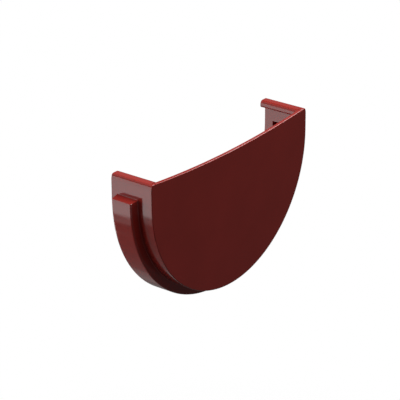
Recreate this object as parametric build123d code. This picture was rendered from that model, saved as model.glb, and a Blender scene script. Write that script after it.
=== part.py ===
from build123d import *
import math
import os

# Half-round gutter end cap, moulded in one piece.
# X runs across the gutter, Y along it, away from the plate, and Z is up.
# The origin is the centre of the half-round, on the inner face of the plate.

# Driving dimensions, in mm
HALF_WIDTH = 64.0  # outer radius of the half-round rim, half of its width
SIDE_HEIGHT = 12.4  # straight sides above the half-round's centre
WALL = 1.9  # thickness of the rim
PLATE = 1.8  # thickness of the closing plate
RIM_DEPTH = 23.4  # from the plate's inner face to the open end of the rim
TOP_SAG = 3.1  # how far the plate's top edge dips in the middle
DIP_SHOULDER = 0.4  # level stretch of the top edge beside each corner

BAND_START = 7.0  # from the plate's inner face to the raised band
BAND_WIDTH = 12.4  # of the band, along the gutter
BAND_PROUD = 4.6  # height of the band above the rim
BAND_DROP = 9.8  # from the top of the cap to the band's ends
BAND_END_DRAFT = 5.0  # slope of the band's end faces, in degrees
CREST_WALL = 1.6  # thickness of the band's crest over the channel
SIDE_WALL = 1.1  # thickness of the band's two sides beside the channel
END_WALL = 1.9  # thickness of the band's closed ends

LIP_REACH = 6.1  # from the rim's outer face to the nose of the lip
LIP_WALL = 1.7  # thickness of the lip over the gutter's edge
NOSE_WALL = 1.7  # thickness of the lip's downturned nose
NOSE_DROP = 3.3  # from the top of the cap to the bottom of the nose

DIP_ROUND = 5.0  # where the plate's top edge starts to dip
LIP_OUTER_ROUND = 1.2
LIP_INNER_ROUND = 1.6
NOSE_ROUND = 0.5
HOOK_ROUND = 0.4  # corners inside the hook
FACE_ROUND = 0.5  # round the plate's front face
FOOT_ROUND = 0.3  # where the band meets the rim
CREST_CHAMFER = 0.3  # edges of the band's crest and ends
MOUTH_CHAMFER = 0.4  # lead-in round the open end of the rim and the lips

# Sizes that follow
INNER_RADIUS = HALF_WIDTH - WALL
CREST_RADIUS = HALF_WIDTH + BAND_PROUD
CHANNEL_RADIUS = CREST_RADIUS - CREST_WALL
BAND_END = BAND_START + BAND_WIDTH
BAND_TOP = SIDE_HEIGHT - BAND_DROP
CREST_TOP = BAND_TOP - BAND_PROUD * math.tan(math.radians(BAND_END_DRAFT))
CHANNEL_TOP = BAND_TOP - END_WALL
CHANNEL_START = BAND_START + SIDE_WALL
CHANNEL_WIDTH = BAND_WIDTH - 2 * SIDE_WALL
LIP_UNDER = SIDE_HEIGHT - LIP_WALL
NOSE_BOTTOM = SIDE_HEIGHT - NOSE_DROP
NOSE_INNER = HALF_WIDTH - LIP_REACH
NOSE_OUTER = NOSE_INNER + NOSE_WALL

NEAR = 1e-3


def slab(profile, start, depth):
    """A face drawn across the gutter, carried along it from start."""
    across = Plane(origin=(0, start, 0), x_dir=(1, 0, 0), z_dir=(0, -1, 0))
    return extrude(across * profile, amount=depth, dir=(0, 1, 0))


def half_round(radius, top):
    """A half circle under two straight sides, cut off level at the top, which may lie below the centre."""
    sides = Pos(0, radius / 2) * Rectangle(2 * radius, radius)
    above = Pos(0, top + radius) * Rectangle(2 * radius, 2 * radius)
    return Circle(radius) + sides - above


def corners(face, x, z):
    """The corners of a drawn face at distance x to either side, at height z."""
    return [v for v in face.vertices() if abs(abs(v.X) - x) < NEAR and abs(v.Y - z) < NEAR]


def rim_section():
    """The rim and its two hooked lips, as they look from the open end."""
    section = half_round(HALF_WIDTH, SIDE_HEIGHT) - half_round(INNER_RADIUS, SIDE_HEIGHT + WALL)
    for side in (-1, 1):
        lip = Pos(side * (HALF_WIDTH - LIP_REACH / 2), SIDE_HEIGHT - LIP_WALL / 2)
        nose = Pos(side * (NOSE_INNER + NOSE_WALL / 2), SIDE_HEIGHT - NOSE_DROP / 2)
        section += lip * Rectangle(LIP_REACH, LIP_WALL)
        section += nose * Rectangle(NOSE_WALL, NOSE_DROP)
    section = fillet(corners(section, HALF_WIDTH, SIDE_HEIGHT), LIP_OUTER_ROUND)
    section = fillet(corners(section, NOSE_INNER, SIDE_HEIGHT), LIP_INNER_ROUND)
    nose_corners = corners(section, NOSE_INNER, NOSE_BOTTOM) + corners(section, NOSE_OUTER, NOSE_BOTTOM)
    section = fillet(nose_corners, NOSE_ROUND)
    hook_corners = corners(section, NOSE_OUTER, LIP_UNDER) + corners(section, INNER_RADIUS, LIP_UNDER)
    return fillet(hook_corners, HOOK_ROUND)


def rim():
    """The rim and lips, with a lead-in round the open end."""
    body = slab(rim_section(), 0, RIM_DEPTH)
    mouth = body.faces().sort_by(Axis.Y)[-1]
    return chamfer(mouth.edges(), MOUTH_CHAMFER)


def plate():
    """The closing plate: its top edge dips in the middle, and its front edges are rounded."""
    outline = half_round(HALF_WIDTH, SIDE_HEIGHT)
    outline = fillet(corners(outline, HALF_WIDTH, SIDE_HEIGHT), LIP_OUTER_ROUND)
    end = HALF_WIDTH - LIP_OUTER_ROUND - DIP_SHOULDER
    dip = ThreePointArc((-end, SIDE_HEIGHT), (0, SIDE_HEIGHT - TOP_SAG), (end, SIDE_HEIGHT))
    outline -= make_face(dip + Line((end, SIDE_HEIGHT), (-end, SIDE_HEIGHT)))
    outline = fillet(corners(outline, end, SIDE_HEIGHT), DIP_ROUND)
    body = slab(outline, -PLATE, PLATE)
    return fillet(body.faces().sort_by(Axis.Y)[0].edges(), FACE_ROUND)


def band():
    """The raised band round the rim, with sloping ends, solid over the rim's wall."""
    arc = ThreePointArc((-CREST_RADIUS, 0), (0, -CREST_RADIUS), (CREST_RADIUS, 0))
    ends = Polyline(
        (CREST_RADIUS, 0),
        (CREST_RADIUS, CREST_TOP),
        (HALF_WIDTH, BAND_TOP),
        (-HALF_WIDTH, BAND_TOP),
        (-CREST_RADIUS, CREST_TOP),
        (-CREST_RADIUS, 0),
    )
    inside = half_round(INNER_RADIUS, SIDE_HEIGHT)
    return slab(make_face(arc + ends) - inside, BAND_START, BAND_WIDTH)


def wall_distance(point):
    """How far a point stands from the half-round's centre line, or from the middle of the straight part."""
    return math.hypot(point.X, point.Z) if point.Z < 0 else abs(point.X)


def edges_between(body, low, high, start, end):
    """Edges that lie wholly between two wall distances and two depths."""
    found = []
    for edge in body.edges():
        points = [edge.position_at(part) for part in (0, 0.5, 1)]
        inside = all(low - NEAR < wall_distance(p) < high + NEAR for p in points)
        if inside and all(start - NEAR < p.Y < end + NEAR for p in points):
            found.append(edge)
    return found


def cap():
    """The whole moulding: plate, rim and band, rounded where they meet, and the seal's channel."""
    body = plate() + rim() + band()
    foot = edges_between(body, HALF_WIDTH, HALF_WIDTH, BAND_START, BAND_END)
    crest = [e for e in edges_between(body, HALF_WIDTH, CREST_RADIUS, BAND_START, BAND_END) if e not in foot]
    body = chamfer(crest, CREST_CHAMFER)
    foot = edges_between(body, HALF_WIDTH, HALF_WIDTH, BAND_START, BAND_END)
    body = fillet(foot, FOOT_ROUND)
    return body - slab(half_round(CHANNEL_RADIUS, CHANNEL_TOP), CHANNEL_START, CHANNEL_WIDTH)


os.makedirs("parts", exist_ok=True)
body = cap()
export_step(body, "parts/cap_body.step")
print("volume", round(body.volume), "valid", body.is_valid, "faces", len(body.faces()))
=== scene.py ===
"""A half-round gutter end cap, moulded in one piece of glossy dark red plastic, in a plain white studio."""

import logging
import math
from dataclasses import dataclass, field
from enum import Enum

import bmesh
import bpy
import numpy as np
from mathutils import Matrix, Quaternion, Vector
from mathutils.geometry import delaunay_2d_cdt


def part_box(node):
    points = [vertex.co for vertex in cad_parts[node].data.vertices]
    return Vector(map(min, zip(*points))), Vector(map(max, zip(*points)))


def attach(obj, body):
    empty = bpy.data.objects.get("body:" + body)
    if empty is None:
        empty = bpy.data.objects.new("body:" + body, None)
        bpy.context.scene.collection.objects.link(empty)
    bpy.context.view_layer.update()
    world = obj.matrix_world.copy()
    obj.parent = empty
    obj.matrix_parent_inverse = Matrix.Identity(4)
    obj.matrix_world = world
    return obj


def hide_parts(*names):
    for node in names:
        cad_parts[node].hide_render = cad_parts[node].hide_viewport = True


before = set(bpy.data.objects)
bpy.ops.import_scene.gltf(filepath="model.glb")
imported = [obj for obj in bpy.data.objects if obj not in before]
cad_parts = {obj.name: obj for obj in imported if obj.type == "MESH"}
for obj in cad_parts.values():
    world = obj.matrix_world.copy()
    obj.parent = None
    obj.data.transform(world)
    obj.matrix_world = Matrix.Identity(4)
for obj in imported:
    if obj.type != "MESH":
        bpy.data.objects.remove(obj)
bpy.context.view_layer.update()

log = logging.getLogger("end_cap")

MM = 0.001  # metres in a millimetre
CAP_NODE = "cap_body"
WELD = 2e-4  # points nearer than this, in mm, are one point
FILL_WELD = WELD / 10  # and nearer than this while a flat face is filled
FILL_INSIDE = 1  # the triangulation's option that fills an outline
WHITE = 1.0  # the strength at which what the camera sees is plain white

Numbers = np.ndarray | float  # one number, or an array of them


class End(Enum):
    """The cap's two ends, by the way that they face along Y."""

    FRONT = -1
    MOUTH = 1


class Mark(Enum):
    """The marks that moulding leaves in a skin, by the names of their sockets."""

    PIGMENT = "Pigment"
    GLOSS = "Gloss"
    RELIEF = "Relief"


# Shapes in numbers


def quarter_turn(steps: int) -> np.ndarray:
    """Angles from 0 to a right angle in even steps, in radians."""
    return np.linspace(0, math.pi / 2, steps + 1)


def direction(azimuth: float, elevation: float) -> Vector:
    """Works out the unit vector (sin a * cos e, cos a * cos e, sin e).

    Args:
        azimuth: the angle a, in degrees from +Y towards +X.
        elevation: the angle e, in degrees above the level.

    Returns:
        The vector.
    """
    turn, rise = math.radians(azimuth), math.radians(elevation)
    level = math.cos(rise)
    return Vector((math.sin(turn) * level, math.cos(turn) * level, math.sin(rise)))


def soft_corner(reach: float, drop: float, fullness: float, steps: int) -> np.ndarray:
    """Works out a moulded corner whose curve starts gently at both ends.

    It is a quarter of a superellipse. At the turn a, from 0 to a right angle, it has gone
    reach * (1 - cos(a) ** (2 / fullness)) inwards and drop * sin(a) ** (2 / fullness) upwards.

    Args:
        reach: how far the corner goes inwards, in mm.
        drop: how far it goes upwards, in mm.
        fullness: 2 gives an ellipse, and more gives softer shoulders and a tighter middle.
        steps: how many straight steps make up the curve.

    Returns:
        An array of (inwards, upwards) pairs, from the foot of the corner to its top.
    """
    turn = quarter_turn(steps)
    inwards = reach * (1 - np.clip(np.cos(turn), 0, 1) ** (2 / fullness))
    upwards = drop * np.sin(turn) ** (2 / fullness)
    return np.column_stack((inwards, upwards))


def arc(centre: tuple[float, float], radius: float, start: float, end: float, steps: int) -> np.ndarray:
    """Works out an arc in a plane: centre + radius * (cos a, sin a), with a from start to end.

    Args:
        centre: the arc's centre.
        radius: its radius.
        start: the angle at which it starts, in degrees.
        end: the angle at which it ends, in degrees.
        steps: how many straight steps make it up.

    Returns:
        An array of points along the arc.
    """
    turn = np.radians(np.linspace(start, end, steps + 1))
    return np.column_stack((centre[0] + radius * np.cos(turn), centre[1] + radius * np.sin(turn)))


def mirrored(right: np.ndarray) -> np.ndarray:
    """The same line on the left, run the other way, so that it ends where the right one starts."""
    return (right * (-1, 1))[::-1]


def loop_normals(loop: np.ndarray) -> np.ndarray:
    """Works out the outward normals of a closed line that runs anticlockwise.

    Each is the step from the point before to the point after, turned a quarter turn clockwise.

    Args:
        loop: the line's points, without the first one repeated at the end.

    Returns:
        An array of unit vectors, one for each point.
    """
    step = np.roll(loop, -1, axis=0) - np.roll(loop, 1, axis=0)
    normal = np.column_stack((step[:, 1], -step[:, 0]))
    return normal / np.linalg.norm(normal, axis=1, keepdims=True)


def across(points: np.ndarray, depth: Numbers) -> np.ndarray:
    """Places points of the cross-section (x, z) at a depth along the gutter."""
    depth = np.broadcast_to(depth, points.shape[:-1])
    return np.stack((points[..., 0], depth, points[..., 1]), axis=-1)


@dataclass
class Shell:
    """Patches of surface, in mm, that are welded into one closed skin where their edges meet."""

    points: list[np.ndarray] = field(default_factory=list)
    faces: list[list[tuple[int, ...]]] = field(default_factory=list)
    count: int = 0

    def add(self, points: np.ndarray, faces: np.ndarray) -> None:
        """Adds a patch.

        Args:
            points: an array of points.
            faces: an array of faces, each a row of indices into the points.
        """
        self.points.append(points.reshape(-1, 3))
        self.faces.append((faces + self.count).tolist())
        self.count += len(self.points[-1])

    def grid(self, points: np.ndarray, hole: np.ndarray | None = None) -> None:
        """Adds a patch of four-sided faces between the rows and columns of a grid.

        Args:
            points: an array of rows by columns by 3.
            hole: which faces are left out, as an array of truth values.
        """
        rows, columns = points.shape[:2]
        index = np.arange(rows * columns).reshape(rows, columns)
        quads = np.stack((index[:-1, :-1], index[:-1, 1:], index[1:, 1:], index[1:, :-1]), axis=-1)
        kept = quads[~hole] if hole is not None else quads.reshape(-1, 4)
        self.add(points, kept)

    def loops(self, rows: list[np.ndarray]) -> None:
        """Adds the patch between closed lines of equally many points."""
        points = np.stack(rows)
        self.grid(np.concatenate((points, points[:, :1]), axis=1))

    def flat(self, outline: np.ndarray, depth: float) -> None:
        """Adds a flat face across the gutter, filled with triangles inside a closed outline.

        Args:
            outline: the outline's points in the cross-section.
            depth: where the face lies along the gutter.
        """
        keep = np.linalg.norm(outline - np.roll(outline, 1, axis=0), axis=1) > WELD
        corners = [Vector(point) for point in outline[keep].tolist()]
        found = delaunay_2d_cdt(corners, [], [list(range(len(corners)))], FILL_INSIDE, FILL_WELD)
        self.add(across(np.array([tuple(v) for v in found[0]]), depth), np.array(found[2]))

    def rounded_end(
        self, outline: np.ndarray, depth: float, end: End, radius: float, support: float, steps: int
    ) -> None:
        """Closes one end of the cap: a quarter-circle rounding round it, and the flat face inside that.

        At the turn a, from 0 to a right angle, the outline has gone radius * (1 - cos(a)) inwards
        and stands radius * (1 - sin(a)) short of the flat face.

        Args:
            outline: the outline in the cross-section, anticlockwise.
            depth: where the flat face lies along the gutter.
            end: which end it is.
            radius: the rounding's radius.
            support: the width of the narrow strip inside the rounding.
            steps: how many straight steps make up the rounding.
        """
        normals = loop_normals(outline)
        rows = []
        for angle in quarter_turn(steps):
            inset, short = radius * (1 - math.cos(angle)), radius * (1 - math.sin(angle))
            rows.append(across(outline - inset * normals, depth - end.value * short))
        inner = outline - (radius + support) * normals
        rows.append(across(inner, depth))
        self.loops(rows)
        self.flat(inner, depth)

    def mesh(self, name: str, sharp: float) -> bpy.types.Mesh:
        """Welds the patches into one mesh, in metres.

        Args:
            name: the mesh's name.
            sharp: the angle in degrees from which an edge shows as sharp.

        Returns:
            The mesh, with its faces pointing outwards.
        """
        mesh = bpy.data.meshes.new(name)
        faces = [face for patch in self.faces for face in patch]
        mesh.from_pydata(np.concatenate(self.points) * MM, [], faces)
        skin = bmesh.new()
        skin.from_mesh(mesh)
        bmesh.ops.remove_doubles(skin, verts=skin.verts, dist=WELD * MM)
        bmesh.ops.dissolve_degenerate(skin, edges=skin.edges, dist=WELD * MM)
        bmesh.ops.recalc_face_normals(skin, faces=skin.faces)
        open_edges = sum(not edge.is_manifold for edge in skin.edges)
        log.info("%s: %d faces, %d open edges", name, len(skin.faces), open_edges)
        skin.to_mesh(mesh)
        skin.free()
        mesh.shade_smooth()
        mesh.set_sharp_from_angle(angle=math.radians(sharp))
        return mesh


# The cap


@dataclass(frozen=True)
class RimSection:
    """The rim and its hooked lips, as they look from the open end, in mm."""

    half_width: float
    side_height: float
    wall: float = 1.9
    lip_wall: float = 1.7
    lip_reach: float = 6.1
    nose_wall: float = 1.7
    nose_drop: float = 3.9
    outer_corner: tuple[float, float] = (1.6, 3.4)  # inwards and down, where the side turns into the lip
    nose_corner: tuple[float, float] = (2.0, 2.5)  # inwards and down, where the lip turns into its nose
    fullness: float = 2.4
    tip_rounds: tuple[float, float] = (1.2, 0.3)  # at the nose's foot, on its face and in the hook
    hook_round: float = 0.4
    flat_steps: int = 4  # along the lip's level top
    corner_steps: int = 20
    round_steps: int = 8
    arc_steps: int = 84  # in a quarter of the rim

    @property
    def quarter(self) -> float:
        """The length of a quarter of the rim's outer face."""
        return self.half_width * math.pi / 2

    @property
    def inner_radius(self) -> float:
        """The radius of the rim's inner face."""
        return self.half_width - self.wall

    @property
    def corner_start(self) -> float:
        """The distance along the rim at which the outer corner starts."""
        return self.quarter + self.side_height - self.outer_corner[1]

    @property
    def lip_start(self) -> float:
        """Half of the distance between the outer corners' tops."""
        return self.half_width - self.outer_corner[0]

    def wrap(self, along: Numbers, out: Numbers, depth: Numbers) -> np.ndarray:
        """Carries places on the unrolled rim to their places on the cap.

        Over the half circle the angle is the distance along the rim's outer face divided by its
        radius, and what is left of the distance past the half circle's ends goes straight up.

        Args:
            along: signed distance along the rim's outer face from its lowest point.
            out: distance from the half circle's centre line.
            depth: distance along the gutter.

        Returns:
            An array of points.
        """
        along, out, depth = np.broadcast_arrays(along, out, depth)
        angle = np.clip(along, -self.quarter, self.quarter) / self.half_width
        rise = np.maximum(np.abs(along) - self.quarter, 0)
        return np.stack((out * np.sin(angle), depth, rise - out * np.cos(angle)), axis=-1)

    def round_stations(self) -> np.ndarray:
        """Evenly spaced distances along the rim's half circle, from left to right."""
        return np.linspace(-self.quarter, self.quarter, 2 * self.arc_steps + 1)

    def hull(self, stations: np.ndarray) -> np.ndarray:
        """The outside of the section, from the left outer corner's top round to the right one's.

        Args:
            stations: signed distances along the rim at which the wall has a point.

        Returns:
            An array of (x, z) pairs.
        """
        wall = self.wrap(stations, self.half_width, 0)[:, ::2]
        turn = soft_corner(*self.outer_corner, self.fullness, self.corner_steps)
        foot = self.side_height - self.outer_corner[1]
        corner = np.column_stack((self.half_width - turn[:, 0], foot + turn[:, 1]))
        return np.concatenate((mirrored(corner), wall, corner))

    def hook(self) -> np.ndarray:
        """The right lip's outline, from the outer corner's top to the foot of the hook's groove.

        It runs along the lip's top, round the nose, and up and along the groove under the lip.

        Returns:
            An array of (x, z) pairs.
        """
        top, under = self.side_height, self.side_height - self.lip_wall
        low, inner = top - self.nose_drop, self.half_width - self.lip_reach
        face, back, outer = *self.tip_rounds, inner + self.nose_wall
        turn = soft_corner(*self.nose_corner, self.fullness, self.corner_steps)[::-1]
        foot = top - self.nose_corner[1]
        flat = np.linspace(self.lip_start, inner + self.nose_corner[0], self.flat_steps + 1)[:-1]
        lip = np.column_stack((flat, np.full(self.flat_steps, top)))
        nose = np.column_stack((inner + turn[:, 0], foot + turn[:, 1]))
        tip_in = arc((inner + face, low + face), face, 180, 270, self.round_steps)
        tip_out = arc((outer - back, low + back), back, 270, 360, self.round_steps)
        groove = self.hook_round
        groove_in = arc((outer + groove, under - groove), groove, 180, 90, self.round_steps)
        groove_out = arc((self.inner_radius - groove, under - groove), groove, 90, 0, self.round_steps)
        return np.concatenate((lip, nose, tip_in, tip_out, groove_in, groove_out))


@dataclass(frozen=True)
class SealBand:
    """The raised band round the rim, and the seal's channel in it, in mm."""

    start: float = 7.0
    end: float = 20.1
    channel: tuple[float, float] = (8.1, 18.3)  # where the seal's channel starts and ends along the gutter
    proud: float = 4.6
    drop: float = 9.8
    side_draft: float = 5.0  # slope of the band's sides, in degrees
    end_draft: float = 8.0  # slope of its ends
    crest_wall: float = 1.6
    end_wall: float = 1.9
    crest_round: float = 0.9
    end_share: float = 0.3  # of the crest's rounding, on the band's ends
    foot_round: float = 0.3
    support: float = 0.15  # width of the narrow strips beside the roundings
    round_steps: int = 8
    channel_steps: int = 6  # across the channel's floor
    wall_steps: int = 3  # up the channel's sides

    @property
    def margin(self) -> float:
        """How far the strip round the band's foot reaches past it."""
        return self.foot_round + self.support

    def cross_lines(self, height: float = 0) -> np.ndarray:
        """Works out the depths of the lines along the band, which draw together as its sides slope.

        Args:
            height: how high the lines lie over the rim.

        Returns:
            The depths, as an array.
        """
        near, far = self.start + self.crest_round, self.end - self.crest_round
        channel = np.linspace(*self.channel, self.channel_steps + 1)
        lines = np.array((near, near + self.support, *channel, far - self.support, far))
        middle, half = (near + far) / 2, (far - near) / 2
        return middle + (lines - middle) * (1 - height * math.tan(math.radians(self.side_draft)) / half)

    def foot_lines(self) -> tuple[float, float]:
        """Depths of the two lines on the rim just beside the band's foot."""
        return self.start - self.margin, self.end + self.margin

    def top_along(self, rim: RimSection) -> float:
        """The distance along the rim of the band's end, at its foot."""
        return rim.quarter + rim.side_height - self.drop

    def corner_along(self, rim: RimSection, height: float) -> float:
        """The distance along the rim of the rounded corners' centres, at a height over the rim."""
        slope = height * math.tan(math.radians(self.end_draft))
        return self.top_along(rim) - slope - self.end_share * self.crest_round

    def levels(self) -> np.ndarray:
        """The band's side as (inset, height) pairs, from its foot up to its crest.

        The foot is a hollow quarter circle, and the crest's edge a full one.

        Returns:
            An array of the pairs.
        """
        foot, crest = self.foot_round, self.crest_round
        edge = self.proud - crest
        hollow = arc((-foot, foot), foot, -90, 0, self.round_steps)
        side = np.array([(0, self.margin), (0, self.proud / 2), (0, edge - self.support)])
        full = arc((crest, edge), crest, 180, 90, self.round_steps)
        return np.concatenate((hollow, side, full))

    def outline(self, rim: RimSection, stations: np.ndarray, inset: float, height: float) -> np.ndarray:
        """A closed line round the band, drawn on the unrolled rim, at one height.

        It is a long rectangle with round corners. Each point is a point of the rectangle through
        the corners' centres, moved outwards by the crest's radius less the inset, or by a share of
        that on the ends. Outside the band's foot both go outwards alike.

        Args:
            rim: the section of the rim that carries the band.
            stations: distances along the rim of the points on the long sides.
            inset: how far the line lies inside the band's foot.
            height: how high it lies over the rim.

        Returns:
            An array of (along, depth) pairs.
        """
        reach = self.crest_round - inset
        end_reach = self.end_share * (self.crest_round - max(inset, 0)) - min(inset, 0)
        squeeze = np.array((end_reach / reach, 1)) if reach > 0 else np.ones(2)
        along = self.corner_along(rim, height)
        long_side = np.concatenate(([-along], stations, [along]))
        short_side = self.cross_lines(height)
        near, far = short_side[0], short_side[-1]
        lines = (
            np.column_stack((long_side, np.full(len(long_side), near - reach))),
            (along, near) + squeeze * arc((0, 0), reach, -90, 0, self.round_steps),
            np.column_stack((np.full(len(short_side), along + end_reach), short_side)),
            (along, far) + squeeze * arc((0, 0), reach, 0, 90, self.round_steps),
            np.column_stack((long_side[::-1], np.full(len(long_side), far + reach))),
            (-along, far) + squeeze * arc((0, 0), reach, 90, 180, self.round_steps),
            np.column_stack((np.full(len(short_side), -along - end_reach), short_side[::-1])),
            (-along, near) + squeeze * arc((0, 0), reach, 180, 270, self.round_steps),
        )
        return np.concatenate(lines)

    def frame_line(self, rim: RimSection, stations: np.ndarray) -> np.ndarray:
        """The rectangle on the rim just outside the band's foot, with a point for each of the outline's.

        The round corners' points all lie in the rectangle's corners.

        Args:
            rim: the section of the rim that carries the band.
            stations: distances along the rim of the points on the long sides.

        Returns:
            An array of (along, depth) pairs.
        """
        inner = self.outline(rim, stations, 0, 0)
        far_along = self.top_along(rim) + self.margin
        near, far = self.foot_lines()
        centre = self.corner_along(rim, 0)
        cross = self.cross_lines()
        along, depth = inner[:, 0].copy(), inner[:, 1].copy()
        past_end = np.abs(along) > centre + WELD
        along[past_end] = np.sign(along[past_end]) * far_along
        before, after = depth < cross[0] - WELD, depth > cross[-1] + WELD
        depth[before], depth[after] = near, far
        return np.column_stack((along, depth))

    def build(self, shell: Shell, rim: RimSection, stations: np.ndarray) -> None:
        """Adds the band's cover: the strip round its foot, its sides and ends, and its crest.

        Args:
            shell: the skin that takes the patches.
            rim: the section of the rim that carries the band.
            stations: distances along the rim of the lines across the band.
        """
        beside = self.frame_line(rim, stations)
        rows = [rim.wrap(beside[:, 0], rim.half_width, beside[:, 1])]
        for inset, height in self.levels():
            line = self.outline(rim, stations, inset, height)
            rows.append(rim.wrap(line[:, 0], rim.half_width + height, line[:, 1]))
        shell.loops(rows)
        along = self.corner_along(rim, self.proud)
        crest = np.concatenate(([-along], stations, [along]))
        lines = self.cross_lines(self.proud)
        shell.grid(rim.wrap(crest[:, None], rim.half_width + self.proud, lines[None, :]))

    def build_channel(self, shell: Shell, rim: RimSection, stations: np.ndarray, lines: np.ndarray) -> None:
        """Adds the seal's channel: its floor, its two sides and its two ends.

        Args:
            shell: the skin that takes the patches.
            rim: the section of the rim.
            stations: distances along the rim of the lines across the channel, its ends included.
            lines: depths of the lines along it, its sides included.
        """
        floor = rim.half_width + self.proud - self.crest_wall
        heights = np.linspace(rim.inner_radius, floor, self.wall_steps + 1)
        shell.grid(rim.wrap(stations[:, None], floor, lines[None, :]))
        for depth in (lines[0], lines[-1]):
            shell.grid(rim.wrap(stations[:, None], heights[None, :], depth))
        for along in (stations[0], stations[-1]):
            shell.grid(rim.wrap(along, heights[None, :], lines[:, None]))


@dataclass(frozen=True)
class ClosingPlate:
    """The plate that closes the gutter's end, in mm."""

    thickness: float
    sag: float = 3.1  # how far the top edge dips in the middle
    face_round: float = 0.42
    support: float = 0.15  # width of the narrow strips beside the rounding
    round_steps: int = 8
    dip_steps: int = 96  # along the top edge between the lips
    lip_steps: int = 6  # along it in front of each lip

    def top(self, x: np.ndarray, rim: RimSection) -> np.ndarray:
        """The height of the plate's top edge: an arc through both corners that dips by the sag.

        Args:
            x: distances across the gutter.
            rim: the section of the rim that the plate closes.

        Returns:
            The heights, as an array.
        """
        half = rim.lip_start
        radius = (half**2 + self.sag**2) / (2 * self.sag)
        return rim.side_height - self.sag + radius - np.sqrt(radius**2 - x**2)

    def dip(self, rim: RimSection, crossing: np.ndarray) -> np.ndarray:
        """The plate's top edge from left to right, with points where it meets the lips' noses.

        Args:
            rim: the section of the rim.
            crossing: the point where the edge meets the right lip.

        Returns:
            An array of (x, z) pairs.
        """
        inner = np.linspace(-crossing[0], crossing[0], self.dip_steps + 1)[1:-1]
        outer = np.linspace(crossing[0], rim.lip_start, self.lip_steps + 1)[1:]
        middle = np.column_stack((inner, self.top(inner, rim)))
        right = np.concatenate((crossing[None], np.column_stack((outer, self.top(outer, rim)))))
        return np.concatenate((mirrored(right), middle, right))

    def build_face(self, shell: Shell, outline: np.ndarray) -> None:
        """Adds the plate's front face and the rounding round it.

        Args:
            shell: the skin that takes the patches.
            outline: the plate's outline in the cross-section, anticlockwise.
        """
        shell.rounded_end(
            outline, -self.thickness, End.FRONT, self.face_round, self.support, self.round_steps
        )


# The finish


@dataclass(frozen=True)
class Noise:
    """A noise on a piece's own coordinates."""

    scale: float  # per metre
    detail: float  # how many finer layers it has

    def node(self, tree: bpy.types.NodeTree) -> bpy.types.Node:
        """Adds the noise's texture node.

        Args:
            tree: the node tree.

        Returns:
            The node.
        """
        place = tree.nodes.new("ShaderNodeTexCoord")
        noise = tree.nodes.new("ShaderNodeTexNoise")
        noise.inputs["Scale"].default_value = self.scale
        noise.inputs["Detail"].default_value = self.detail
        tree.links.new(place.outputs["Object"], noise.inputs["Vector"])
        return noise


@dataclass(frozen=True)
class MouldingMarks:
    """The marks that moulding leaves in a skin, as one shader node group.

    Pigment: slow drifts of the colour, and fine specks of pigment in it.
    Gloss: patches where the mould's polish is a little duller.
    Relief: the slow waves of cooled plastic and the fine grain of the mould's face.
    """

    name: str = "moulding_marks"
    drift: Noise = Noise(38.0, 2.0)
    specks: Noise = Noise(2600.0, 1.0)
    polish: Noise = Noise(120.0, 4.0)
    waves: Noise = Noise(55.0, 1.0)
    grain: Noise = Noise(1900.0, 2.0)
    fine_share: float = 0.3  # of the specks and of the grain, where a material gives none

    def blend(
        self, tree: bpy.types.NodeTree, coarse: Noise, fine: Noise, share: bpy.types.NodeSocket
    ) -> bpy.types.NodeSocket:
        """Mixes two noises.

        Args:
            tree: the group's node tree.
            coarse: the noise that shows where the share is 0.
            fine: the noise that shows where it is 1.
            share: the share's socket.

        Returns:
            The mixed noise's socket.
        """
        first, second = coarse.node(tree), fine.node(tree)
        mix = tree.nodes.new("ShaderNodeMix")
        mix.data_type = "FLOAT"
        tree.links.new(share, mix.inputs["Factor"])
        tree.links.new(first.outputs["Fac"], mix.inputs["A"])
        tree.links.new(second.outputs["Fac"], mix.inputs["B"])
        return mix.outputs["Result"]

    def group(self) -> bpy.types.NodeTree:
        """Builds the group once, and finds it again later.

        Returns:
            The group's node tree.
        """
        found = bpy.data.node_groups.get(self.name)
        if found:
            return found
        tree = bpy.data.node_groups.new(self.name, "ShaderNodeTree")
        for name in ("Specks", "Grain"):
            socket = tree.interface.new_socket(name, in_out="INPUT", socket_type="NodeSocketFloat")
            socket.default_value = self.fine_share
        for mark in Mark:
            tree.interface.new_socket(mark.value, in_out="OUTPUT", socket_type="NodeSocketFloat")
        given, result = tree.nodes.new("NodeGroupInput"), tree.nodes.new("NodeGroupOutput")
        values = {
            Mark.PIGMENT: self.blend(tree, self.drift, self.specks, given.outputs["Specks"]),
            Mark.GLOSS: self.polish.node(tree).outputs["Fac"],
            Mark.RELIEF: self.blend(tree, self.waves, self.grain, given.outputs["Grain"]),
        }
        for mark, value in values.items():
            tree.links.new(value, result.inputs[mark.value])
        return tree


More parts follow.
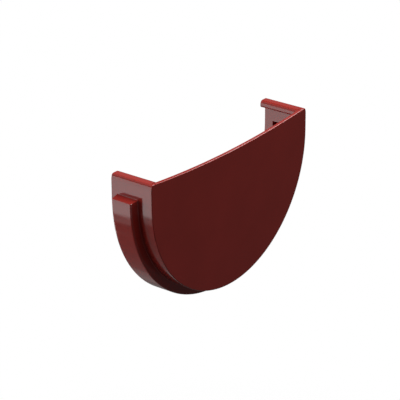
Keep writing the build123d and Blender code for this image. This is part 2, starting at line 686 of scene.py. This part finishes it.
@dataclass(frozen=True)
class MouldedPlastic:
    """Glossy, through-coloured moulded plastic, with a faint unevenness of colour and gloss."""

    name: str = "red_plastic"
    dark: tuple[float, float, float] = (0.212, 0.0153, 0.011)
    light: tuple[float, float, float] = (0.248, 0.0182, 0.0134)
    polished: float = 0.08  # roughness where the mould's polish is at its best
    dulled: float = 0.13  # and where it is dullest
    refraction: float = 1.5
    relief: float = 0.35
    relief_depth: float = 0.00001  # metres
    specks: float = 0.35  # share of the specks in the colour's drift
    grain: float = 0.12  # share of the grain in the relief
    noise_range: tuple[float, float] = (0.3, 0.7)  # which a noise seldom leaves
    marks: MouldingMarks = MouldingMarks()

    def spread(
        self, tree: bpy.types.NodeTree, noise: bpy.types.NodeSocket, low: float, high: float
    ) -> bpy.types.NodeSocket:
        """Stretches a noise's usual range over a range of values.

        Args:
            tree: the material's node tree.
            noise: the noise's socket.
            low: the value at the low end of the usual range.
            high: the value at its high end.

        Returns:
            The socket of the stretched noise.
        """
        stretch = tree.nodes.new("ShaderNodeMapRange")
        stretch.inputs["From Min"].default_value, stretch.inputs["From Max"].default_value = self.noise_range
        stretch.inputs["To Min"].default_value = low
        stretch.inputs["To Max"].default_value = high
        tree.links.new(noise, stretch.inputs["Value"])
        return stretch.outputs["Result"]

    def material(self) -> bpy.types.Material:
        """Makes the material: the marks drive its colour, its roughness and a faint relief.

        Returns:
            The material.
        """
        material = bpy.data.materials.new(self.name)
        material.use_nodes = True
        tree = material.node_tree
        shader = tree.nodes["Principled BSDF"]
        shader.inputs["IOR"].default_value = self.refraction
        marks = tree.nodes.new("ShaderNodeGroup")
        marks.node_tree = self.marks.group()
        marks.inputs["Specks"].default_value = self.specks
        marks.inputs["Grain"].default_value = self.grain
        colour = tree.nodes.new("ShaderNodeMix")
        colour.data_type = "RGBA"
        colour.inputs["A"].default_value = (*self.dark, 1)
        colour.inputs["B"].default_value = (*self.light, 1)
        tree.links.new(self.spread(tree, marks.outputs[Mark.PIGMENT.value], 0, 1), colour.inputs["Factor"])
        tree.links.new(colour.outputs["Result"], shader.inputs["Base Color"])
        roughness = self.spread(tree, marks.outputs[Mark.GLOSS.value], self.polished, self.dulled)
        tree.links.new(roughness, shader.inputs["Roughness"])
        bump = tree.nodes.new("ShaderNodeBump")
        bump.inputs["Strength"].default_value = self.relief
        bump.inputs["Distance"].default_value = self.relief_depth
        tree.links.new(marks.outputs[Mark.RELIEF.value], bump.inputs["Height"])
        tree.links.new(bump.outputs["Normal"], shader.inputs["Normal"])
        return material


@dataclass(frozen=True)
class SectionLine:
    """The outline of the rim and lips, in two lines that meet at the outer corners' tops."""

    hull: np.ndarray  # over the outside, from the left corner down and round to the right one
    inside: np.ndarray  # over the right lip, the inner face and the left lip
    meeting: int  # how many of the inside line's points come before the plate's top edge

    def whole(self) -> np.ndarray:
        """The closed outline, anticlockwise."""
        return np.concatenate((self.hull, self.inside[1:-1]))

    def inside_normals(self) -> np.ndarray:
        """The outward normals of the inside line's points."""
        normals = loop_normals(self.whole())
        return np.concatenate((normals[len(self.hull) - 1:], normals[:1]))

    def root_radius(self, full: float, run: float) -> np.ndarray:
        """The radius of the hollow beside the plate, at each point of the inside line.

        It grows from nothing, where the plate's top edge meets the lips, as 3 s * s - 2 s * s * s
        of the share s of a short run.

        Args:
            full: the radius past the run.
            run: how far from the plate's top edge it is full.

        Returns:
            The radii, as an array.
        """
        steps = np.linalg.norm(np.diff(self.inside, axis=0), axis=1)
        travelled = np.concatenate(([0], np.cumsum(steps)))
        from_right = travelled - travelled[self.meeting]
        from_left = travelled[-1 - self.meeting] - travelled
        share = np.clip(np.minimum(from_right, from_left) / run, 0, 1)
        return full * share * share * (3 - 2 * share)


@dataclass(frozen=True)
class EndCap:
    """The whole moulding: rim, lips, band, channel and plate, welded into one closed skin, in mm."""

    rim: RimSection
    band: SealBand
    plate: ClosingPlate
    finish: MouldedPlastic
    depth: float
    name: str = "moulded_cap"
    mouth_round: float = 0.16
    root_round: float = 0.3  # the hollow between the plate and the rim
    root_run: float = 1.5  # how far from the plate's top edge the hollow is full
    support: float = 0.1  # width of the narrow strips beside the roundings
    round_steps: int = 8
    sharp_angle: float = 40.0

    @classmethod
    def from_frame(cls, node: str) -> "EndCap":
        """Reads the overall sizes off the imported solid.

        Args:
            node: the solid's name.

        Returns:
            The cap, with its other sizes as designed.
        """
        low, high = (np.array(corner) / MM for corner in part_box(node))
        band = SealBand()
        rim = RimSection(half_width=float(high[0]) - band.proud, side_height=float(high[2]))
        plate = ClosingPlate(thickness=-float(low[1]))
        return cls(rim, band, plate, MouldedPlastic(), depth=float(high[1]))

    @property
    def channel_top(self) -> float:
        """The height of the ends of the seal's channel."""
        return self.rim.side_height - self.band.drop - self.band.end_wall

    def depth_lines(self) -> np.ndarray:
        """Works out the depths of the lines round the cap, between the roundings of its two ends.

        Returns:
            The depths, as an array.
        """
        front = self.plate.face_round - self.plate.thickness
        root = self.root_round + self.support
        near, far = self.band.foot_lines()
        mouth = self.depth - self.mouth_round
        before = (front, front + self.plate.support, 0, root, near / 2, near)
        return np.array((*before, *self.band.cross_lines(), far, mouth - self.support, mouth))

    def hull_stations(self) -> np.ndarray:
        """Works out distances along the rim of its outer face's points, the lines by the band among them.

        Returns:
            The signed distances, as an array.
        """
        side = self.band.top_along(self.rim) + self.band.margin
        right = np.array((self.band.corner_along(self.rim, 0), side, (side + self.rim.corner_start) / 2))
        return np.concatenate((-right[::-1], self.rim.round_stations(), right))

    def inner_stations(self) -> np.ndarray:
        """Works out distances along the rim of its inner face's points, the channel's ends among them.

        Returns:
            The signed distances, as an array.
        """
        top = self.rim.quarter + self.channel_top
        groove = self.rim.quarter + self.rim.side_height - self.rim.lip_wall - self.rim.hook_round
        right = np.array((top, (top + groove) / 2))
        return np.concatenate((-right[::-1], self.rim.round_stations(), right))

    def section(self) -> SectionLine:
        """Works out the section, with a point where the plate's top edge meets each lip.

        The meeting point is found by linear interpolation between the lip's points on either side.

        Returns:
            The section's outline.
        """
        hook = self.rim.hook()
        over = hook[:, 1] - self.plate.top(hook[:, 0], self.rim)
        after = int(np.argmax((over[1:] <= 0) & (over[:-1] > 0))) + 1
        share = over[after - 1] / (over[after - 1] - over[after])
        hook = np.insert(hook, after, hook[after - 1] + share * (hook[after] - hook[after - 1]), axis=0)
        wall = self.rim.wrap(self.inner_stations()[::-1], self.rim.inner_radius, 0)[:, ::2]
        inside = np.concatenate((hook, wall, mirrored(hook)))
        return SectionLine(self.rim.hull(self.hull_stations()), inside, after)

    def build(self) -> bpy.types.Object:
        """Builds the skin and dresses it.

        Returns:
            The cap's object.
        """
        shell, section, lines = Shell(), self.section(), self.depth_lines()
        self.build_hull(shell, section, lines)
        self.band.build(shell, self.rim, self.rim.round_stations())
        self.build_inside(shell, section, lines)
        self.build_root(shell, section, lines[lines > WELD][0])
        self.build_plate(shell, section, lines[lines < WELD])
        self.build_mouth(shell, section.whole())
        piece = bpy.data.objects.new(self.name, shell.mesh(self.name, self.sharp_angle))
        piece.data.materials.append(self.finish.material())
        bpy.context.scene.collection.objects.link(piece)
        return piece

    def build_hull(self, shell: Shell, section: SectionLine, lines: np.ndarray) -> None:
        """Adds the outside of the rim and plate, with a hole where the band stands.

        Args:
            shell: the skin that takes the patch.
            section: the outline of the rim.
            lines: depths of the lines round it.
        """
        points = across(np.repeat(section.hull[:, None], len(lines), axis=1), lines[None, :])
        middle = (points[:-1, :-1] + points[1:, 1:]) / 2
        near, far = self.band.foot_lines()
        top = self.rim.side_height - self.band.drop + self.band.margin
        shell.grid(points, (middle[..., 1] > near) & (middle[..., 1] < far) & (middle[..., 2] < top))

    def build_inside(self, shell: Shell, section: SectionLine, lines: np.ndarray) -> None:
        """Adds the lips and the rim's inner face, and the seal's channel in it.

        Args:
            shell: the skin that takes the patches.
            section: the outline of the rim and lips.
            lines: depths of the lines round the cap.
        """
        deep = lines[lines > WELD]
        points = across(np.repeat(section.inside[:, None], len(deep), axis=1), deep[None, :])
        middle = (points[:-1, :-1] + points[1:, 1:]) / 2
        start, end = self.band.channel
        low = middle[..., 2] < self.channel_top
        shell.grid(points, (middle[..., 1] > start) & (middle[..., 1] < end) & low)
        inner = self.inner_stations()
        stations = inner[np.abs(inner) < self.rim.quarter + self.channel_top + WELD]
        within = lines[(lines > start - WELD) & (lines < end + WELD)]
        self.band.build_channel(shell, self.rim, stations, within)

    def build_root(self, shell: Shell, section: SectionLine, first: float) -> None:
        """Adds the hollow between the inner face and the plate, a quarter circle.

        Args:
            shell: the skin that takes the patch.
            section: the outline of the rim and lips.
            first: the depth of the first line past the hollow.
        """
        normals = section.inside_normals()
        radius = section.root_radius(self.root_round, self.root_run)
        rows = [across(section.inside, first)]
        for angle in quarter_turn(self.round_steps):
            moved = section.inside + (radius * (1 - math.cos(angle)))[:, None] * normals
            rows.append(across(moved, radius * (1 - math.sin(angle))))
        shell.grid(np.stack(rows))

    def build_plate(self, shell: Shell, section: SectionLine, lines: np.ndarray) -> None:
        """Adds the plate's top edge, its front and its inner face, and the lips' ends over the plate.

        Args:
            shell: the skin that takes the patches.
            section: the outline of the rim and lips.
            lines: depths of the lines along the top edge, up to the inner face.
        """
        after, inside = section.meeting, section.inside
        dip = self.plate.dip(self.rim, inside[after])
        shell.grid(across(np.repeat(dip[:, None], len(lines), axis=1), lines[None, :]))
        self.plate.build_face(shell, np.concatenate((section.hull, dip[1:-1][::-1])))
        radius = section.root_radius(self.root_round, self.root_run)
        foot = (inside + radius[:, None] * section.inside_normals())[after:len(inside) - after]
        lip_end = self.plate.lip_steps
        shell.flat(np.concatenate((foot, dip[lip_end + 1:-lip_end - 1])), 0)
        end = np.concatenate((inside[:after + 1], dip[-lip_end:-1]))
        shell.flat(end, 0)
        shell.flat(mirrored(end), 0)

    def build_mouth(self, shell: Shell, outline: np.ndarray) -> None:
        """Adds the open end's flat edge and the rounding round it.

        Args:
            shell: the skin that takes the patches.
            outline: the whole outline of the rim and lips, anticlockwise.
        """
        shell.rounded_end(
            outline, self.depth, End.MOUTH, self.mouth_round, self.support, self.round_steps
        )


# The studio


@dataclass(frozen=True)
class PhotoCamera:
    """The camera at the photograph's place: distances in metres, angles in degrees."""

    azimuth: float = 52.094
    elevation: float = 23.969
    roll: float = -0.4
    distance: float = 1.0003
    aim: tuple[float, float, float] = (-0.01126, 0.0102, -0.01678)
    lens: float = 178.8  # millimetres, as the sensor's width
    sensor: float = 36.0
    clip: tuple[float, float] = (0.05, 50.0)

    def build(self) -> None:
        """Makes the camera and sets it as the scene's."""
        forward = direction(self.azimuth, -self.elevation)
        data = bpy.data.cameras.new("camera")
        data.lens, data.sensor_width = self.lens, self.sensor
        data.clip_start, data.clip_end = self.clip
        camera = bpy.data.objects.new("camera", data)
        camera.location = Vector(self.aim) - forward * self.distance
        turn = Quaternion((0, 0, 1), math.radians(self.roll))
        camera.rotation_euler = (forward.to_track_quat("-Z", "Y") @ turn).to_euler()
        bpy.context.scene.collection.objects.link(camera)
        bpy.context.scene.camera = camera


@dataclass(frozen=True)
class SoftBox:
    """A white rectangular light that faces the cap, hidden from the camera, in metres and degrees."""

    name: str
    azimuth: float  # from +Y towards +X
    elevation: float
    distance: float
    width: float
    height: float
    radiance: float
    centre: tuple[float, float, float] = (0.0, 0.01, -0.02)  # what it stands round and faces

    def build(self) -> None:
        """Makes the light, whose power is its radiance times pi times its area."""
        out = direction(self.azimuth, self.elevation)
        data = bpy.data.lights.new(self.name, "AREA")
        data.shape = "RECTANGLE"
        data.size, data.size_y = self.width, self.height
        data.energy = self.radiance * math.pi * self.width * self.height
        light = bpy.data.objects.new(self.name, data)
        light.location = Vector(self.centre) + out * self.distance
        light.rotation_euler = out.to_track_quat("Z", "Y").to_euler()
        light.visible_camera = False
        bpy.context.scene.collection.objects.link(light)


@dataclass(frozen=True)
class Studio:
    """The floor, the world and the lights, in metres."""

    floor_height: float = -0.3
    floor_half: float = 12.0
    floor_colour: tuple[float, float, float] = (0.6, 0.6, 0.6)
    floor_roughness: float = 0.9
    shadow_reach: tuple[float, float] = (0.2, 0.34)  # where the floor starts to turn white, and is white
    panel_centre: tuple[float, float, float] = (0.203, 0.27, -0.02)
    ambient: float = 0.08

    def build(self) -> None:
        """Makes the floor, the world and the lights."""
        self.build_floor()
        self.build_world()
        for light in self.lights():
            light.build()

    def lights(self) -> tuple[SoftBox, ...]:
        """Lists the lights. The camera looks along an azimuth of 52 degrees, so -38 is on its left.

        One hangs overhead, and two stand behind the cap, one high and one far off. A wide low panel
        and its foot stand on the left, with two wings beside them, and show in the rim's gloss.
        Four shine from below, and the last three from the camera's side and from its right.

        Returns:
            The lights.
        """
        return (
            SoftBox("overhead", 90, 80, 1.8, 1.3, 1.2, 9.6),
            SoftBox("high_back", 86, 48, 1.5, 1.0, 0.5, 6.6),
            SoftBox("far_back", 44, 30, 3.0, 1.2, 1.1, 0.15),
            SoftBox("panel", -52, -8.2, 1.0, 1.34, 0.77, 1.85, self.panel_centre),
            SoftBox("wing", -28, 0, 1.2, 0.6, 0.6, 2.6),
            SoftBox("panel_foot", -52, -12.8, 1.01, 1.34, 0.82, 0.5, self.panel_centre),
            SoftBox("high_wing", -24, 26, 1.0, 1.0, 1.2, 0.5),
            SoftBox("low_left_glow", -46, -37, 1.0, 0.2, 0.2, 0.13),
            SoftBox("low_left", -18, -35, 1.0, 0.24, 0.24, 7.5),
            SoftBox("from_below", -5, -62, 1.0, 1.0, 1.0, 0.12),
            SoftBox("low_back", 42, -36, 1.0, 1.0, 0.8, 0.11),
            SoftBox("fill", 184, 44, 1.1, 0.8, 0.8, 0.72),
            SoftBox("low_fill", 222, -12, 1.2, 0.8, 0.8, 0.3),
            SoftBox("right", 145, 30, 0.5, 0.3, 0.3, 0.7),
        )

    def build_floor(self) -> None:
        """Makes the floor, which takes no part in the cap's own light and reflections."""
        half, height = self.floor_half, self.floor_height
        corners = [(x * half, y * half, height) for x, y in ((-1, -1), (1, -1), (1, 1), (-1, 1))]
        mesh = bpy.data.meshes.new("floor")
        mesh.from_pydata(corners, [], [(0, 1, 2, 3)])
        floor = bpy.data.objects.new("floor", mesh)
        floor.visible_glossy = floor.visible_diffuse = False
        mesh.materials.append(self.floor_material())
        bpy.context.scene.collection.objects.link(floor)

    def floor_material(self) -> bpy.types.Material:
        """Makes the floor's material: pale and shadowed under the cap, and plain white farther out.

        The share of plain white grows smoothly with the distance from the point under the cap.

        Returns:
            The material.
        """
        material = bpy.data.materials.new("floor")
        material.use_nodes = True
        nodes, links = material.node_tree.nodes, material.node_tree.links
        paint = nodes["Principled BSDF"]
        paint.inputs["Base Color"].default_value = (*self.floor_colour, 1)
        paint.inputs["Roughness"].default_value = self.floor_roughness
        paint.inputs["Specular IOR Level"].default_value = 0
        white = nodes.new("ShaderNodeEmission")
        white.inputs["Strength"].default_value = WHITE
        place, away = nodes.new("ShaderNodeTexCoord"), nodes.new("ShaderNodeVectorMath")
        away.operation = "DISTANCE"
        away.inputs[1].default_value = (0, 0, self.floor_height)
        share, mix = nodes.new("ShaderNodeMapRange"), nodes.new("ShaderNodeMixShader")
        share.interpolation_type = "SMOOTHSTEP"
        share.inputs["From Min"].default_value, share.inputs["From Max"].default_value = self.shadow_reach
        links.new(place.outputs["Object"], away.inputs[0])
        links.new(away.outputs["Value"], share.inputs["Value"])
        links.new(share.outputs["Result"], mix.inputs["Fac"])
        links.new(paint.outputs["BSDF"], mix.inputs[1])
        links.new(white.outputs["Emission"], mix.inputs[2])
        links.new(mix.outputs["Shader"], nodes["Material Output"].inputs["Surface"])
        return material

    def build_world(self) -> None:
        """Makes the world: white to the camera, and a plain grey light otherwise."""
        world = bpy.data.worlds.new("studio")
        world.use_nodes = True
        nodes, links = world.node_tree.nodes, world.node_tree.links
        background = nodes["Background"]
        path = nodes.new("ShaderNodeLightPath")
        mix = nodes.new("ShaderNodeMix")
        mix.data_type = "FLOAT"
        mix.inputs["A"].default_value = self.ambient
        mix.inputs["B"].default_value = WHITE
        links.new(path.outputs["Is Camera Ray"], mix.inputs["Factor"])
        links.new(mix.outputs["Result"], background.inputs["Strength"])
        background.inputs["Color"].default_value = (1, 1, 1, 1)
        bpy.context.scene.world = world


def main() -> None:
    """Builds the cap and the studio round it."""
    logging.basicConfig(level=logging.INFO, format="%(name)s: %(message)s")
    bpy.context.scene.view_settings.view_transform = "Standard"
    piece = EndCap.from_frame(CAP_NODE).build()
    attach(piece, "root")
    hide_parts(CAP_NODE)
    Studio().build()
    PhotoCamera().build()


if __name__ == "__main__":
    main()
